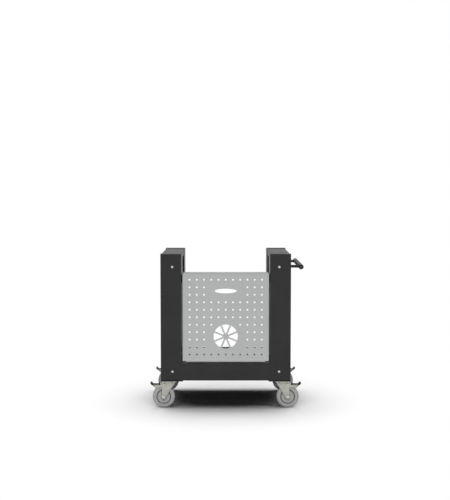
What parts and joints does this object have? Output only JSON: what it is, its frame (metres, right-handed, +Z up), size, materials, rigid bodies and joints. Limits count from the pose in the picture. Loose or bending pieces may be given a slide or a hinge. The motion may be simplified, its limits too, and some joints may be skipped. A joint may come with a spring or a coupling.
{
  "type": "outdoor pizza oven table",
  "caption": "Rolling base for an outdoor pizza oven: folded sheet frame, drop-down perforated door, open compartment, side push handle and braked swivel casters.",
  "frame": {"origin": "on the floor, under the middle of the frame", "axes": "+X to the handle side, +Y to the back, +Z up; the door faces -Y"},
  "size_m": [0.8561, 0.568, 0.866],
  "materials": {
    "frame_paint": "powder coat, fine satin texture",
    "door_steel": "satin",
    "zinc_steel": "zinc plated",
    "fastener_steel": "satin",
    "magnet": "nickel plated",
    "tyre_rubber": "grey rubber, matt",
    "wheel_plastic": "moulded",
    "black_plastic": "moulded",
    "bush_plastic": "moulded"
  },
  "bodies": {
    "cart": {"front_frame": "frame_paint", "rear_frame": "frame_paint", "side_panel_left": "frame_paint", "side_panel_right": "frame_paint", "corner_plate_fl": "frame_paint", "corner_plate_fr": "frame_paint", "corner_plate_rl": "frame_paint", "corner_plate_rr": "frame_paint", "shelf": "frame_paint", "shelf_rivets": "fastener_steel", "seat_rail_left": "frame_paint", "seat_rail_right": "frame_paint", "frame_bolts": "fastener_steel", "frame_nuts": "fastener_steel", "hinge_plates": "zinc_steel", "hinge_pins": "fastener_steel", "stop_pins": "fastener_steel", "door_catches": "black_plastic", "catch_magnets": "magnet", "handle_bar": "frame_paint", "handle_caps": "black_plastic", "handle_arms": "frame_paint", "handle_screws": "fastener_steel", "caster_bolts": "fastener_steel", "caster_nuts": "fastener_steel", "kingpins": "fastener_steel", "swivel_balls": "fastener_steel", "caster_plate_fl": "zinc_steel", "caster_plate_fr": "zinc_steel", "caster_plate_rl": "zinc_steel", "caster_plate_rr": "zinc_steel"},
    "door": {"door_panel": "door_steel", "hinge_bushes": "bush_plastic", "strike_plates": "zinc_steel"},
    "swivel_fl": {"fork_fl": "zinc_steel", "axle_fl": "fastener_steel"},
    "wheel_fl": {"hub_fl": "wheel_plastic", "tyre_fl": "tyre_rubber"},
    "brake_fl": {"pedal_fl": "zinc_steel", "sleeve_fl": "black_plastic"},
    "swivel_fr": {"fork_fr": "zinc_steel", "axle_fr": "fastener_steel"},
    "wheel_fr": {"hub_fr": "wheel_plastic", "tyre_fr": "tyre_rubber"},
    "brake_fr": {"pedal_fr": "zinc_steel", "sleeve_fr": "black_plastic"},
    "swivel_rl": {"fork_rl": "zinc_steel", "axle_rl": "fastener_steel"},
    "wheel_rl": {"hub_rl": "wheel_plastic", "tyre_rl": "tyre_rubber"},
    "brake_rl": {"pedal_rl": "zinc_steel", "sleeve_rl": "black_plastic"},
    "swivel_rr": {"fork_rr": "zinc_steel", "axle_rr": "fastener_steel"},
    "wheel_rr": {"hub_rr": "wheel_plastic", "tyre_rr": "tyre_rubber"},
    "brake_rr": {"pedal_rr": "zinc_steel", "sleeve_rr": "black_plastic"}
  },
  "joints": [
    {"name": "door_hinge", "type": "hinge", "parent": "cart", "child": "door", "pos_m": [0, -0.2605, 0.31], "axis": [1, 0, 0], "range_deg": [0, 90]},
    {"name": "swivel_turn_fl", "type": "hinge", "parent": "cart", "child": "swivel_fl", "pos_m": [-0.318, -0.227, 0.15], "axis": [0, 0, 1], "continuous": true},
    {"name": "wheel_roll_fl", "type": "hinge", "parent": "swivel_fl", "child": "wheel_fl", "pos_m": [-0.347, -0.227, 0.0625], "axis": [0, 1, 0], "continuous": true},
    {"name": "brake_press_fl", "type": "hinge", "parent": "swivel_fl", "child": "brake_fl", "pos_m": [-0.348, -0.227, 0.1325], "axis": [0, -1, 0], "range_deg": [0, 10]},
    {"name": "swivel_turn_fr", "type": "hinge", "parent": "cart", "child": "swivel_fr", "pos_m": [0.318, -0.227, 0.15], "axis": [0, 0, 1], "continuous": true},
    {"name": "wheel_roll_fr", "type": "hinge", "parent": "swivel_fr", "child": "wheel_fr", "pos_m": [0.347, -0.227, 0.0625], "axis": [0, 1, 0], "continuous": true},
    {"name": "brake_press_fr", "type": "hinge", "parent": "swivel_fr", "child": "brake_fr", "pos_m": [0.348, -0.227, 0.1325], "axis": [0, 1, 0], "range_deg": [0, 10]},
    {"name": "swivel_turn_rl", "type": "hinge", "parent": "cart", "child": "swivel_rl", "pos_m": [-0.318, 0.227, 0.15], "axis": [0, 0, 1], "continuous": true},
    {"name": "wheel_roll_rl", "type": "hinge", "parent": "swivel_rl", "child": "wheel_rl", "pos_m": [-0.347, 0.227, 0.0625], "axis": [0, 1, 0], "continuous": true},
    {"name": "brake_press_rl", "type": "hinge", "parent": "swivel_rl", "child": "brake_rl", "pos_m": [-0.348, 0.227, 0.1325], "axis": [0, -1, 0], "range_deg": [0, 10]},
    {"name": "swivel_turn_rr", "type": "hinge", "parent": "cart", "child": "swivel_rr", "pos_m": [0.318, 0.227, 0.15], "axis": [0, 0, 1], "continuous": true},
    {"name": "wheel_roll_rr", "type": "hinge", "parent": "swivel_rr", "child": "wheel_rr", "pos_m": [0.347, 0.227, 0.0625], "axis": [0, 1, 0], "continuous": true},
    {"name": "brake_press_rr", "type": "hinge", "parent": "swivel_rr", "child": "brake_rr", "pos_m": [0.348, 0.227, 0.1325], "axis": [0, 1, 0], "range_deg": [0, 10]}
  ]
}
